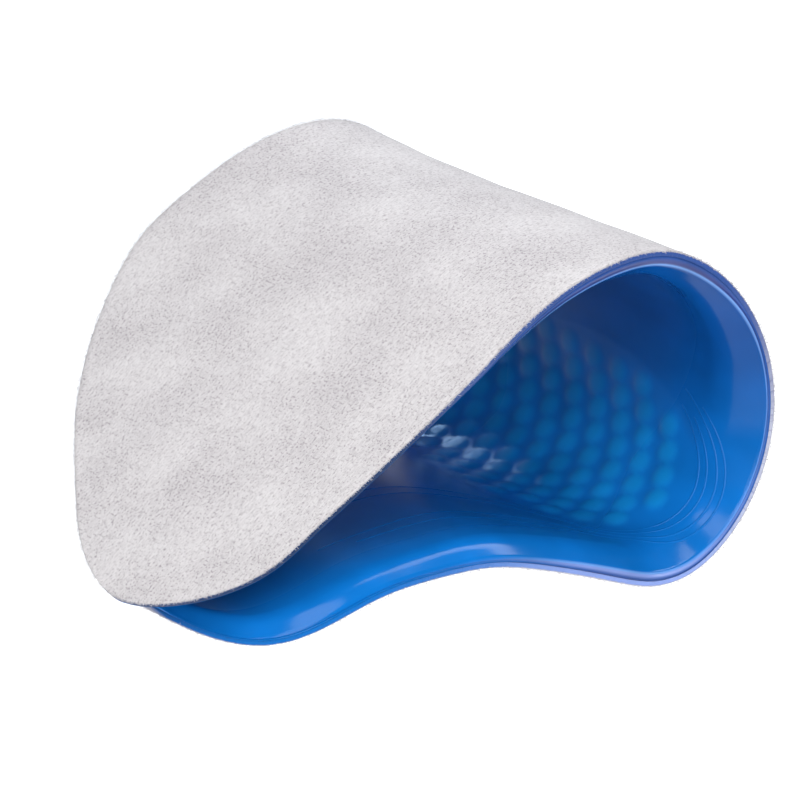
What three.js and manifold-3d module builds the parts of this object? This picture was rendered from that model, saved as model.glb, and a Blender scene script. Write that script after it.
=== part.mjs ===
// Orthopedic insole, full length, folded in half with its cast gel face inside and its suede cloth outside.
// Toe and heel are pinched together at the origin, and the sole bends round in a loop at +X.
// Y runs across the sole, level, and Z is up. All sizes are millimetres.
import * as THREE from 'three';
import { mergeVertices } from 'three/addons/utils/BufferGeometryUtils.js';
import Module from 'manifold-3d';

// Driving sizes of the flat sole
const SOLE_LENGTH = 288;
const TOE_ROUND = { length: 66, power: 1.75 };
const HEEL_ROUND = { length: 36, power: 2.6 };
const CLOTH_THICKNESS = 1.0;
const LAYER_GAP = 0.3;

// Lip of the gel: how far its cut side leans in, the reach of its slope from the edge, where the slope bends
// as a share of that, how much of the drop is left there, and the half width that gives it its full size
const LIP = { lean: 0.8, reach: 5, knee: 0.4, kneeDrop: 0.43, room: 12 };

// Cast relief on the gel face: cushion dots in an oval field, and low flow lines
const DOT = { radius: 2.6, crown: 1.6, shoulder: 0.2, height: 0.5, sides: 7 };
const DOT_FIRST = { along: 172.5, across: 36.2 };
const DOT_STEPS = { row: { along: 5.6, across: -1.7 }, column: { along: -1.0, across: 6.7 }, limit: 9 };
const DOT_MARGIN = 1.5;
const FIELD = { along: 179, across: 43, halfAlong: 29, halfAcross: 33 };
const FLOW_LINE = { width: 1.0, height: 0.3, tailSteps: 12, roundSteps: 16 };
const BURIED = 0.7;

// Depth of the gel's back under the outer cloth face
const GEL_BACK = CLOTH_THICKNESS + LAYER_GAP;

// Facets along and across each layer, and how far the last section stops short of each tip
const ROWS = 80;
const CLOTH_COLUMNS = 5;
const GEL_COLUMNS = 6;
const END_MARGIN = 0.25;
const END_CROWDING = 0.45;

// The far edge of the forefoot lifts a little where the sole starts to bend
const EDGE_LIFT = { along: 108, reach: 34, fromAcross: 48, overAcross: 46, height: 2.2 };

// Where the toe tip lies from the pinch, and how far the near edge lies in front of it
const TOE_TIP = { x: -9, z: 0 };
const NEAR_EDGE_Y = -33;

// Sides of the flat sole: middle line, half width, gel thickness inside and gel thickness at the edge,
// at a distance from the toe tip
const SIDES = [
  { at: 0, middle: 31, half: 47.5, gel: 2.4, edge: 0.5 },
  { at: 14, middle: 33, half: 47, gel: 2.4, edge: 0.5 },
  { at: 28, middle: 39, half: 46, gel: 2.4, edge: 0.5 },
  { at: 45, middle: 43.9, half: 46.1, gel: 2.4, edge: 0.6 },
  { at: 66, middle: 47, half: 47, gel: 2.6, edge: 1.1 },
  { at: 105, middle: 45, half: 45, gel: 4.2, edge: 2.0 },
  { at: 150, middle: 43, half: 43, gel: 4.8, edge: 2.0 },
  { at: 195, middle: 42, half: 42, gel: 4.6, edge: 1.9 },
  { at: 230, middle: 38, half: 38, gel: 3.4, edge: 1.2 },
  { at: 262, middle: 34.5, half: 34.5, gel: 2.4, edge: 0.6 },
  { at: 288, middle: 29, half: 33, gel: 2.4, edge: 0.5 },
];

// Bend of the sole: heading of the sheet, in degrees above +X, at a distance from the toe tip
const BEND = [
  { at: 0, heading: 36 },
  { at: 49, heading: 34 },
  { at: 74, heading: 29 },
  { at: 89, heading: 15 },
  { at: 101, heading: 0 },
  { at: 114, heading: -27 },
  { at: 129, heading: -49 },
  { at: 144, heading: -71 },
  { at: 159, heading: -98 },
  { at: 174, heading: -128 },
  { at: 186, heading: -155 },
  { at: 194, heading: -179 },
  { at: 204, heading: -201 },
  { at: 219, heading: -202 },
  { at: 232, heading: -198 },
  { at: 244, heading: -185 },
  { at: 256, heading: -180 },
  { at: 268, heading: -163 },
  { at: 278, heading: -163 },
  { at: 288, heading: -190 },
];

// Flow lines: where each starts on the heel side, how far outside the dotted field it then runs round it,
// and the turns, in degrees round the field, where it joins and ends
const FLOW_LINES = [
  { along: 262, across: 31, outside: 1.4, joins: -38, ends: -132 },
  { along: 258, across: 28.6, outside: 3.0, joins: -44, ends: -126 },
  { along: 262, across: 16.6, outside: 4.8, joins: -58, ends: -136 },
  { along: 256, across: 14.4, outside: 6.2, joins: -63, ends: -128 },
];

// A smooth curve through one column of a table, by the distance along the sole
function smoothColumn(table, column) {
  const slope = (i) => {
    const before = table[Math.max(i - 1, 0)];
    const after = table[Math.min(i + 1, table.length - 1)];
    return (after[column] - before[column]) / (after.at - before.at);
  };
  return (along) => {
    let i = 0;
    while (i < table.length - 2 && along > table[i + 1].at) i += 1;
    const step = table[i + 1].at - table[i].at;
    const t = THREE.MathUtils.clamp((along - table[i].at) / step, 0, 1);
    const rise = table[i + 1][column] - table[i][column];
    const bulge = t * (1 - t) * ((1 - t) * (slope(i) * step - rise) - t * (slope(i + 1) * step - rise));
    return table[i][column] + rise * t + bulge;
  };
}

const middleAt = smoothColumn(SIDES, 'middle');
const sideHalfAt = smoothColumn(SIDES, 'half');
const gelAt = smoothColumn(SIDES, 'gel');
const edgeAt = smoothColumn(SIDES, 'edge');
const headingAt = smoothColumn(BEND, 'heading');

// Share of the full width that is left inside a rounded end, from 0 at the tip to 1
function endRound(fromTip, round) {
  const inward = THREE.MathUtils.clamp(1 - fromTip / round.length, 0, 1);
  return (1 - inward ** round.power) ** (1 / round.power);
}

// Half of the sole's width at a distance from the toe tip
function halfWidthAt(along) {
  return sideHalfAt(along) * endRound(along, TOE_ROUND) * endRound(SOLE_LENGTH - along, HEEL_ROUND);
}

// Side profile of the outer cloth face, summed up from the heading in 1 mm steps
const profile = [new THREE.Vector2(TOE_TIP.x, TOE_TIP.z)];
for (let along = 0; along < SOLE_LENGTH; along += 1) {
  const heading = THREE.MathUtils.degToRad(headingAt(along + 0.5));
  const last = profile[profile.length - 1];
  profile.push(new THREE.Vector2(last.x + Math.cos(heading), last.y + Math.sin(heading)));
}

// How far the sheet stands proud of the plain bend near the far edge of the forefoot
function edgeLift(along, across) {
  const fromMiddle = THREE.MathUtils.clamp((along - EDGE_LIFT.along) / EDGE_LIFT.reach, -1, 1);
  const outward = THREE.MathUtils.clamp((across - EDGE_LIFT.fromAcross) / EDGE_LIFT.overAcross, 0, 1);
  return EDGE_LIFT.height * outward ** 2 * (0.5 + 0.5 * Math.cos(Math.PI * fromMiddle));
}

// Point of the bent sole: distance from the toe, distance from the near edge, depth under the cloth face
function bentPoint(along, across, depth) {
  const i = Math.min(Math.floor(along), SOLE_LENGTH - 1);
  const heading = THREE.MathUtils.degToRad(headingAt(along));
  const outer = profile[i].clone().lerp(profile[i + 1], along - i);
  const inward = depth - edgeLift(along, across);
  const x = outer.x + inward * Math.sin(heading);
  const z = outer.y - inward * Math.cos(heading);
  return new THREE.Vector3(x, NEAR_EDGE_Y + across, z);
}

// Closed geometry from rings of points: each ring joins the next, and the first and last are capped
function geometryFromRings(rings) {
  const positions = rings.flat().flatMap((point) => [point.x, point.y, point.z]);
  const count = rings[0].length;
  const last = (rings.length - 1) * count;
  const faces = [];
  for (let first = 0; first < last; first += count) {
    for (let k = 0; k < count; k += 1) {
      const a = first + k;
      const b = first + ((k + 1) % count);
      faces.push(a, b + count, b, a, a + count, b + count);
    }
  }
  for (let k = 1; k < count - 1; k += 1) {
    faces.push(0, k, k + 1);
    faces.push(last, last + k + 1, last + k);
  }
  const geometry = new THREE.BufferGeometry();
  geometry.setAttribute('position', new THREE.Float32BufferAttribute(positions, 3));
  geometry.setIndex(faces);
  return geometry;
}

// Stations along the sole, closer together at the rounded ends
function stations() {
  return Array.from({ length: ROWS + 1 }, (_, row) => {
    const even = row / ROWS;
    const crowded = even - (END_CROWDING * Math.sin(2 * Math.PI * even)) / (2 * Math.PI);
    return END_MARGIN + (SOLE_LENGTH - 2 * END_MARGIN) * crowded;
  });
}

// Evenly spread positions from -1 at the near edge to 1 at the far edge
function acrossShares(columns) {
  return Array.from({ length: columns + 1 }, (_, k) => (2 * k) / columns - 1);
}

// The cloth: one sheet of even thickness
function clothGeometry() {
  const rings = stations().map((along) => {
    const face = (depth) => acrossShares(CLOTH_COLUMNS).map((share) =>
      bentPoint(along, middleAt(along) + share * halfWidthAt(along), depth));
    return [...face(0), ...face(CLOTH_THICKNESS).reverse()];
  });
  return geometryFromRings(rings);
}

// Depth of the gel's open face, inside the lip
function gelFaceAt(along) {
  return GEL_BACK + gelAt(along);
}

// The gel sheet under the cloth, with its open face sloping down to a thin leaning edge
function gelSheetGeometry() {
  const rings = stations().map((along) => {
    const half = halfWidthAt(along);
    const room = Math.min(1, half / LIP.room);
    const edgeHalf = half - LIP.lean * room;
    const kneeHalf = half - LIP.reach * LIP.knee * room;
    const faceHalf = half - LIP.reach * room;
    const face = gelFaceAt(along);
    const edge = GEL_BACK + edgeAt(along);
    const knee = THREE.MathUtils.lerp(face, edge, LIP.kneeDrop);
    const at = (offset, depth) => bentPoint(along, middleAt(along) + offset, depth);
    const back = acrossShares(GEL_COLUMNS).map((share) => at(share * half, GEL_BACK));
    const front = acrossShares(GEL_COLUMNS).map((share) => at(share * faceHalf, face));
    const farLip = [at(edgeHalf, edge), at(kneeHalf, knee)];
    const nearLip = [at(-kneeHalf, knee), at(-edgeHalf, edge)];
    return [...back, ...farLip, ...front.reverse(), ...nearLip];
  });
  return geometryFromRings(rings);
}

// A low dome on the gel face, from a buried ring to a rounded crown
function dotGeometry(along, across) {
  const levels = [
    { radius: DOT.radius, rise: -BURIED },
    { radius: DOT.radius, rise: DOT.shoulder },
    { radius: DOT.crown, rise: DOT.height },
  ];
  const rings = levels.map(({ radius, rise }) =>
    Array.from({ length: DOT.sides }, (_, k) => {
      const angle = (2 * Math.PI * k) / DOT.sides;
      const place = along + radius * Math.cos(angle);
      return bentPoint(place, across + radius * Math.sin(angle), gelFaceAt(place) + rise);
    }));
  return geometryFromRings(rings);
}

// A low flow line along a path on the gel face, with sloping sides and a ridge
function flowLineGeometry(path) {
  const rings = path.map((point, i) => {
    const before = path[Math.max(i - 1, 0)];
    const after = path[Math.min(i + 1, path.length - 1)];
    const side = new THREE.Vector2(before.y - after.y, after.x - before.x).setLength(FLOW_LINE.width / 2);
    const at = (share, rise) => {
      const place = point.clone().addScaledVector(side, share);
      return bentPoint(place.x, place.y, gelFaceAt(place.x) + rise);
    };
    return [at(-1, -BURIED), at(1, -BURIED), at(1, 0), at(0, FLOW_LINE.height), at(-1, 0)];
  });
  return geometryFromRings(rings);
}

// Centres of the dots that lie inside the dotted field, in rows and columns a little askew
function dotCentres() {
  const centres = [];
  const { row, column, limit } = DOT_STEPS;
  for (let j = -limit; j <= limit; j += 1) {
    for (let i = -limit; i <= limit; i += 1) {
      const along = DOT_FIRST.along + i * row.along + j * column.along;
      const across = DOT_FIRST.across + i * row.across + j * column.across;
      const outwardAlong = (along - FIELD.along) / (FIELD.halfAlong - DOT_MARGIN);
      const outwardAcross = (across - FIELD.across) / (FIELD.halfAcross - DOT_MARGIN);
      if (Math.hypot(outwardAlong, outwardAcross) < 1) centres.push({ along, across });
    }
  }
  return centres;
}

// Path of a flow line on the flat sole: a smooth tail from the heel side, then a run round the dotted field
function flowPath(line) {
  const run = Array.from({ length: FLOW_LINE.roundSteps + 1 }, (_, k) => {
    const turn = THREE.MathUtils.lerp(line.joins, line.ends, k / FLOW_LINE.roundSteps);
    const angle = THREE.MathUtils.degToRad(turn);
    const along = FIELD.along + (FIELD.halfAlong + line.outside) * Math.cos(angle);
    const across = FIELD.across + (FIELD.halfAcross + line.outside) * Math.sin(angle);
    return new THREE.Vector2(along, across);
  });
  const start = new THREE.Vector2(line.along, line.across);
  const [join, next] = run;
  const pull = start.distanceTo(join) / 3;
  const leave = new THREE.Vector2(start.x - pull, start.y);
  const arrive = join.clone().sub(next.clone().sub(join).setLength(pull));
  const tail = new THREE.CubicBezierCurve(start, leave, arrive, join).getPoints(FLOW_LINE.tailSteps);
  return [...tail.slice(0, -1), ...run];
}

const wasm = await Module();
wasm.setup();

// Solid of a closed geometry
function solidOf(geometry) {
  const merged = mergeVertices(geometry);
  return new wasm.Manifold(new wasm.Mesh({
    numProp: 3,
    vertProperties: Float32Array.from(merged.attributes.position.array),
    triVerts: Uint32Array.from(merged.index.array),
  }));
}

// Geometry of a solid, with a normal for each facet
function geometryOf(solid) {
  const mesh = solid.getMesh();
  const geometry = new THREE.BufferGeometry();
  geometry.setAttribute('position', new THREE.BufferAttribute(Float32Array.from(mesh.vertProperties), 3));
  geometry.setIndex(Array.from(mesh.triVerts));
  geometry.computeVertexNormals();
  return geometry;
}

// The gel sole: the sheet with every dot and flow line cast on it
function gelSoleGeometry() {
  let sole = solidOf(gelSheetGeometry());
  const relief = [
    ...FLOW_LINES.map((line) => flowLineGeometry(flowPath(line))),
    ...dotCentres().map(({ along, across }) => dotGeometry(along, across)),
  ];
  relief.forEach((geometry) => {
    sole = sole.add(solidOf(geometry));
  });
  return geometryOf(sole);
}

const suedeCloth = new THREE.MeshStandardMaterial({ color: 0xdad7d8, roughness: 0.95, metalness: 0 });
const blueGel = new THREE.MeshStandardMaterial({ color: 0x0f5fb4, roughness: 0.18, metalness: 0 });

const insole = new THREE.Group();

const cover = new THREE.Mesh(clothGeometry(), suedeCloth);
cover.name = 'fabric_cover';
cover.geometry.computeVertexNormals();
insole.add(cover);

const sole = new THREE.Mesh(gelSoleGeometry(), blueGel);
sole.name = 'gel_sole';
insole.add(sole);

export default insole;
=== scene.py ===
"""Orthopedic insole folded in half: napped suede cloth outside, glossy cast gel inside.

Both layers follow one bent sheet. A point of the flat sole has a distance along it from the
toe tip, a distance across it from the near edge, and a depth under the outer face of the cloth.
"""
import math
from collections import namedtuple

import bpy
import numpy as np
from bpy.props import FloatProperty, FloatVectorProperty, IntProperty, PointerProperty
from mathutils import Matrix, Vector


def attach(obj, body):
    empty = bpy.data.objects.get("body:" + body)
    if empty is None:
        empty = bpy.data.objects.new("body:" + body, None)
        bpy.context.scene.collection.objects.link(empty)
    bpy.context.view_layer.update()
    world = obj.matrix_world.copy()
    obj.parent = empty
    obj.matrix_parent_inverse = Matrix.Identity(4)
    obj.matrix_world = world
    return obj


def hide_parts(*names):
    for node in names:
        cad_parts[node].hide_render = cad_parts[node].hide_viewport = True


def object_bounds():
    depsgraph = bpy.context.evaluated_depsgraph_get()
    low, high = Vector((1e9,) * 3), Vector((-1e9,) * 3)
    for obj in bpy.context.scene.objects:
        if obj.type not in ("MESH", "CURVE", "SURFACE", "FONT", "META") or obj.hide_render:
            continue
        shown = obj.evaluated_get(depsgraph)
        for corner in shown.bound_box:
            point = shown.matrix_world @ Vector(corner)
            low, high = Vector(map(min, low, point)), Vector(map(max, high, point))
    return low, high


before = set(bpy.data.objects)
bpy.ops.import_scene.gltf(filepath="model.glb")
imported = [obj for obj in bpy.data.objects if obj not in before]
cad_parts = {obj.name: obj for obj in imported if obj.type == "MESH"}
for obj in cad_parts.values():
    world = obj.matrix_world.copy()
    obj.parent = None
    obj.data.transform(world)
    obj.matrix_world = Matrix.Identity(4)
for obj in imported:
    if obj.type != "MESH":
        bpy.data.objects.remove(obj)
CAD_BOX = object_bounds()

bl_info = {
    "name": "Folded Gel Insole",
    "version": (1, 0, 0),
    "blender": (4, 5, 0),
    "location": "View3D > Sidebar > Insole",
    "description": "Builds a folded insole of suede cloth and cast gel",
    "category": "Add Mesh",
}

MM = 0.001
BODY = "root"
FLAT_UV = "flat_pattern"

# Sides of the flat sole in millimetres, at a distance from the toe tip: middle line, half width and
# thickness of the gel inside its lip
Side = namedtuple("Side", "at middle half gel")
SIDES = [
    Side(0, 31, 47.5, 2.4),
    Side(14, 33, 47, 2.4),
    Side(28, 39, 46, 2.4),
    Side(45, 43.9, 46.1, 2.4),
    Side(66, 47, 47, 2.6),
    Side(105, 45, 45, 4.2),
    Side(150, 43, 43, 4.8),
    Side(195, 42, 42, 4.6),
    Side(230, 38, 38, 3.4),
    Side(262, 34.5, 34.5, 2.4),
    Side(288, 29, 33, 2.4),
]

# Cast of the gel at a distance from the toe tip: thickness of its edge and reach of its lip, in millimetres,
# how deep its blue looks, which is painted shade where that part of the sole lies in shade, how much of it has
# soaked into the cut edge of the cloth, and how pale that edge is, which is where the cut side shows its painted
# lit and shaded colours and the lip its painted highlight
Cast = namedtuple("Cast", "at edge reach deep soak pale")
CASTS = [
    Cast(0, 0.2, 5.0, 0.9, 1.0, 0.0),
    Cast(45, 0.4, 5.0, 0.9, 1.0, 0.1),
    Cast(63, 1.0, 5.0, 0.9, 1.0, 0.8),
    Cast(84, 1.7, 5.0, 1.0, 1.0, 1.0),
    Cast(102, 1.8, 5.0, 1.0, 1.0, 1.0),
    Cast(115, 1.6, 5.0, 1.0, 1.0, 1.0),
    Cast(124, 1.2, 5.5, 1.0, 1.0, 1.0),
    Cast(137, 0.35, 7.5, 1.0, 0.9, 0.9),
    Cast(149, 0.15, 10.5, 0.8, 0.6, 0.7),
    Cast(163, 0.15, 13.0, 0.4, 0.4, 0.6),
    Cast(175, 0.25, 13.5, 0.15, 0.5, 0.7),
    Cast(189, 0.8, 11.0, 0.08, 0.9, 0.9),
    Cast(203, 1.3, 8.0, 0.1, 1.0, 1.0),
    Cast(213, 1.2, 7.0, 0.15, 1.0, 1.0),
    Cast(226, 0.8, 6.0, 0.1, 0.95, 0.7),
    Cast(240, 0.3, 5.0, 0.0, 0.95, 0.2),
    Cast(262, 0.2, 5.0, 0.0, 1.0, 0.0),
    Cast(288, 0.2, 5.0, 0.2, 1.0, 0.0),
]

# Bend of the sole: heading of the sheet, in degrees above +X, at a distance from the toe tip
Bend = namedtuple("Bend", "at heading")
BENDS = [
    Bend(0, 36),
    Bend(49, 34),
    Bend(74, 29),
    Bend(89, 15),
    Bend(101, 0),
    Bend(114, -27),
    Bend(129, -49),
    Bend(144, -71),
    Bend(159, -98),
    Bend(174, -128),
    Bend(186, -155),
    Bend(194, -179),
    Bend(204, -201),
    Bend(219, -202),
    Bend(232, -198),
    Bend(244, -185),
    Bend(256, -180),
    Bend(268, -163),
    Bend(278, -163),
    Bend(288, -190),
]

# Flow lines on the flat gel face: where each starts on the heel side, in millimetres, how far outside the
# dotted field it then runs round it, and the turns, in degrees round the field, where it joins and ends
FlowLine = namedtuple("FlowLine", "along across outside joins ends")
FLOW_LINES = [
    FlowLine(262, 31, 1.4, -38, -132),
    FlowLine(258, 28.6, 3.0, -44, -126),
    FlowLine(262, 16.6, 4.8, -58, -136),
    FlowLine(256, 14.4, 6.2, -63, -128),
]

# Rounded ends of the flat sole: reach of the rounding in millimetres, and how square it is
EndRound = namedtuple("EndRound", "reach power")
TOE_ROUND = EndRound(66, 1.75)
HEEL_ROUND = EndRound(36, 2.6)

# The far edge of the forefoot lifts a little where the sole starts to bend, in millimetres
EdgeLift = namedtuple("EdgeLift", "along reach from_across over_across height")
EDGE_LIFT = EdgeLift(108, 34, 48, 46, 2.2)

# Where the toe tip lies from the pinch, and how far the near edge lies in front of it, in millimetres
TOE_TIP_X = -9
TOE_TIP_Z = 0
NEAR_EDGE_Y = -33

# The dotted field on the flat gel face, in millimetres
Field = namedtuple("Field", "along across half_along half_across margin")
FIELD = Field(179, 43, 29, 33, 1.5)

# One cushion dot on the flat gel face and the steps from a dot to its neighbours, in millimetres, and how many
# steps are tried each way before the outline of the field ends them
FlatStep = namedtuple("FlatStep", "along across")
DOT_FIRST = FlatStep(172.5, 36.2)
DOT_ROW = FlatStep(5.6, -1.7)
DOT_COLUMN = FlatStep(-1.0, 6.7)
DOT_LIMIT = 9

# Rows along each layer, closer together at the rounded ends, and how far they stop short of the tips
ROWS = 400
TIP_MARGIN = 0.05
END_CROWDING = 0.45


def length_prop(name, description, millimetres):
    """A length that the user may change, given here in millimetres."""
    return FloatProperty(name=name, description=description, default=millimetres * MM, min=0.0,
                         precision=5, unit="LENGTH", subtype="DISTANCE")


def srgb(hex_colour):
    """Linear RGB of an sRGB hex colour such as "d9d6d8"."""
    parts = [int(hex_colour[i:i + 2], 16) / 255 for i in (0, 2, 4)]
    return [p / 12.92 if p <= 0.04045 else ((p + 0.055) / 1.055) ** 2.4 for p in parts]


def colour_prop(name, description, hex_colour):
    """A colour that the user may change, given here as sRGB hex."""
    return FloatVectorProperty(name=name, description=description, default=srgb(hex_colour),
                               min=0.0, max=1.0, size=3, subtype="COLOR")


class InsoleLayers(bpy.types.PropertyGroup):
    """Sizes of the two layers of the sole."""

    length: length_prop("Sole Length", "Length of the flat sole from toe tip to heel", 288)
    cloth: length_prop("Cloth Thickness", "Thickness of the suede cloth", 1.0)
    gel_back: length_prop("Gel Back", "Depth of the gel's back under the outer face of the cloth", 1.05)
    lip_radius: length_prop("Lip Radius", "Radius of the gel's edge", 0.3)
    lip_lean: length_prop("Lip Lean", "How far the gel's cut side leans in", 0.8)
    groove: length_prop("Groove Depth", "Depth of the soft groove round the dotted field", 0.22)
    cloth_wave: length_prop("Cloth Wave", "Height of the soft unevenness of the cloth", 0.12)


class InsoleRelief(bpy.types.PropertyGroup):
    """Sizes of what is cast on the gel face."""

    dot_radius: length_prop("Dot Radius", "Radius of a cushion dot at its foot", 2.85)
    dot_height: length_prop("Dot Height", "Height of a cushion dot", 0.36)
    line_radius: length_prop("Line Radius", "Radius of the round section of a flow line", 0.36)
    line_sunk: length_prop("Line Sunk", "How deep the middle of that section lies in the gel", 0.295)


class InsoleNap(bpy.types.PropertyGroup):
    """The loose fibres along the cut edge of the cloth."""

    count: IntProperty(name="Fibre Count", description="Loose fibres round the cut edge", default=14000, min=0)
    fibre: length_prop("Fibre Length", "Length of the longest loose fibre", 0.55)
    fibre_radius: length_prop("Fibre Radius", "Radius of a fibre at its foot", 0.065)
    seed: IntProperty(name="Seed", description="Seed of the fibres' random lean and length", default=7)


class InsoleFinish(bpy.types.PropertyGroup):
    """Colours of the cloth and the gel."""

    suede: colour_prop("Suede", "Pale face of the suede", "cdcacb")
    suede_shade: colour_prop("Suede Shade", "Pores and hollows between the fibres", "9a9498")
    # Painted shade: the stained cut edge drawn darker where it lies in shade, by the deep share
    soaked_in_shade: colour_prop("Soaked Deep", "Cut edge of the cloth where the gel behind it is deep", "061f44")
    soaked_thin: colour_prop("Soaked Thin", "Cut edge of the cloth where the gel runs out over it", "0b62ae")
    soaked: colour_prop("Soaked Edge", "Cut edge of the cloth that the gel has soaked into", "2a4888")
    gel_thin: colour_prop("Thin Gel", "Gel where it is thin", "0b68b6")
    # Painted shade: this darker blue is laid on by the deep share where the sole lies in shade
    gel_in_shade: colour_prop("Thick Gel", "Gel where it is thick", "083f7e")
    gel_field: colour_prop("Gel Field", "Gel between the cushion dots", "0d6cba")
    # Partly painted light: the dot crowns are drawn lighter as if lit, and a little greener in tint
    gel_dot_tint_and_light: colour_prop("Gel Dot", "Crowns of the cushion dots", "1284c8")
    # Painted highlight: a pale blue drawn along the rounded lip for the light it catches
    gel_lip_highlight: colour_prop("Gel Lip", "Thin rounded lip that lets light through", "74a0de")
    # Painted light: the gel's cut side in a shaded colour and a lit colour, mixed by the deep share
    edge_in_shade: colour_prop("Deep Edge", "Cut side of the gel where its blue is deep", "2f386f")
    edge_lit: colour_prop("Pale Edge", "Cut side of the gel where its blue is pale", "8399d6")


class InsoleStage(bpy.types.PropertyGroup):
    """Camera and studio."""

    heading: FloatProperty(name="Camera Heading", description="Turn of the view to the right of +Y",
                           default=math.radians(39), unit="ROTATION", subtype="ANGLE")
    elevation: FloatProperty(name="Camera Elevation", description="How far the view looks down",
                             default=math.radians(21), unit="ROTATION", subtype="ANGLE")
    target: FloatVectorProperty(name="Camera Target", description="Point in the middle of the view",
                                default=(26.5 * MM, -33.0 * MM, 35.3 * MM), unit="LENGTH", subtype="XYZ")
    distance: length_prop("Camera Distance", "Distance of the camera from its target", 635.8)
    lens: FloatProperty(name="Lens", description="Focal length in millimetres on a 36 mm sensor",
                        default=177.5, min=1.0)
    floor_drop: length_prop("Floor Drop", "How far the floor lies below the insole", 180)
    floor_colour: colour_prop("Floor", "Pale matte floor", "f6f6f6")


def smooth_column(rows, column):
    """A smooth curve through one column of a table, as a function of the distance along the sole."""
    at = np.array([row.at for row in rows], float)
    value = np.array([getattr(row, column) for row in rows], float)
    last = len(rows) - 1
    before = np.maximum(np.arange(len(rows)) - 1, 0)
    after = np.minimum(np.arange(len(rows)) + 1, last)
    slope = (value[after] - value[before]) / (at[after] - at[before])

    def curve(along):
        i = np.clip(np.searchsorted(at, along, side="left") - 1, 0, last - 1)
        step = at[i + 1] - at[i]
        t = np.clip((along - at[i]) / step, 0, 1)
        rise = value[i + 1] - value[i]
        bulge = (1 - t) * (slope[i] * step - rise) - t * (slope[i + 1] * step - rise)
        return value[i] + rise * t + t * (1 - t) * bulge

    return curve


class FoldedSole:
    """The bent sheet that both layers follow. It takes millimetres on the flat sole."""

    def __init__(self, length):
        self.length = length / MM
        # Each column of the tables becomes a curve of the same name, such as self.middle
        for rows in (SIDES, CASTS, BENDS):
            for column in rows[0]._fields[1:]:
                setattr(self, column, smooth_column(rows, column))
        self.steps = np.arange(0, self.length + 1)
        turned = np.radians(self.heading(self.steps[:-1] + 0.5))
        self.profile_x = TOE_TIP_X + np.concatenate([[0], np.cumsum(np.cos(turned))])
        self.profile_z = TOE_TIP_Z + np.concatenate([[0], np.cumsum(np.sin(turned))])

    @staticmethod
    def end_round(from_tip, end):
        """Share of the full width that is left inside a rounded end."""
        inward = np.clip(1 - from_tip / end.reach, 0, 1)
        return (1 - inward ** end.power) ** (1 / end.power)

    def half_width(self, along):
        """Half of the sole's width at a distance from the toe tip."""
        toe = self.end_round(along, TOE_ROUND)
        heel = self.end_round(self.length - along, HEEL_ROUND)
        return self.half(along) * toe * heel

    @staticmethod
    def edge_lift(along, across):
        """How far the sheet stands proud of the plain bend near the far edge of the forefoot."""
        from_middle = np.clip((along - EDGE_LIFT.along) / EDGE_LIFT.reach, -1, 1)
        outward = np.clip((across - EDGE_LIFT.from_across) / EDGE_LIFT.over_across, 0, 1)
        return EDGE_LIFT.height * outward ** 2 * (1 + np.cos(np.pi * from_middle)) / 2

    def points(self, along, across, depth):
        """Points of the bent sole in metres, in the frame."""
        along, across, depth = np.broadcast_arrays(along, across, depth)
        turned = np.radians(self.heading(along))
        inward = depth - self.edge_lift(along, across)
        x = np.interp(along, self.steps, self.profile_x) + inward * np.sin(turned)
        z = np.interp(along, self.steps, self.profile_z) - inward * np.cos(turned)
        return MM * np.stack([x, NEAR_EDGE_Y + across, z], axis=-1)

    def stations(self):
        """Distances from the toe tip of the rows of points, closer together at the rounded ends."""
        even = np.linspace(0, 1, ROWS + 1)
        crowded = even - END_CROWDING * np.sin(2 * np.pi * even) / (2 * np.pi)
        return TIP_MARGIN + (self.length - 2 * TIP_MARGIN) * crowded

    def outline_slant(self, along):
        """How much longer the way across is than the shortest way to the edge."""
        probe = 0.5
        ahead = self.half_width(np.clip(along + probe, 0, self.length))
        behind = self.half_width(np.clip(along - probe, 0, self.length))
        return np.hypot(1, (ahead - behind) / (2 * probe))

    def flat_area(self):
        """Area of the flat sole in square metres."""
        return float(np.sum(2 * self.half_width(self.steps[:-1] + 0.5))) * MM * MM


# Columns across the faces of each layer
CLOTH_COLUMNS = 60
GEL_BACK_COLUMNS = 20
GEL_FACE_COLUMNS = 128

# Distances from the edge of the first columns of the gel face, in millimetres, and the half width that they need
LIP_COLUMNS = (1.4, 1.8, 2.3, 2.9, 3.6, 4.5, 6.0)
LIP_ROOM = 12

# The gel's cut side: its levels as a share of its height, then the turns of its rounded edge, in degrees. For each
# of these, how much of the cut side's colour and of the lip's painted highlight it shows
SIDE_LEVELS = (0.35, 0.7)
EDGE_TURNS = (0, 30, 60)
SIDE_RIM = (1.0, 1.0, 1.0, 0.3, 0.0)
SIDE_LIP_HIGHLIGHT = (0.0, 0.0, 0.2, 0.7, 0.6)

# A band of columns round the gel: offsets from the middle line, depths, and its share of cut side and of the lip's
# painted highlight
Band = namedtuple("Band", "offset depth rim lip")

# Share of the lip's reach that slopes evenly before it rounds into the face
LIP_FLANK = 0.4

# How far inside the polished lip the face has turned satin, as a share of the lip's reach
SATIN_FADE = 1.2

# Width of the groove round the dotted field, in millimetres
GROOVE_WIDTH = 2.4

# Where the colour of the dotted field ends, and over how much it fades, as shares of the field's half size
FIELD_END = 1.08
FIELD_FADE = 0.2

# How far the cloth's outer face rolls over at its cut edge, in millimetres, and the most as a share of the half width
EDGE_ROLL = 0.25
EDGE_ROLL_MOST = 0.25

# Levels of the cloth's cut edge, as a share of its thickness, and how far the gel has soaked in there
CutLevel = namedtuple("CutLevel", "share soak")
CUT_LEVELS = (CutLevel(0.12, 0.2), CutLevel(0.3, 1.0))

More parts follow.
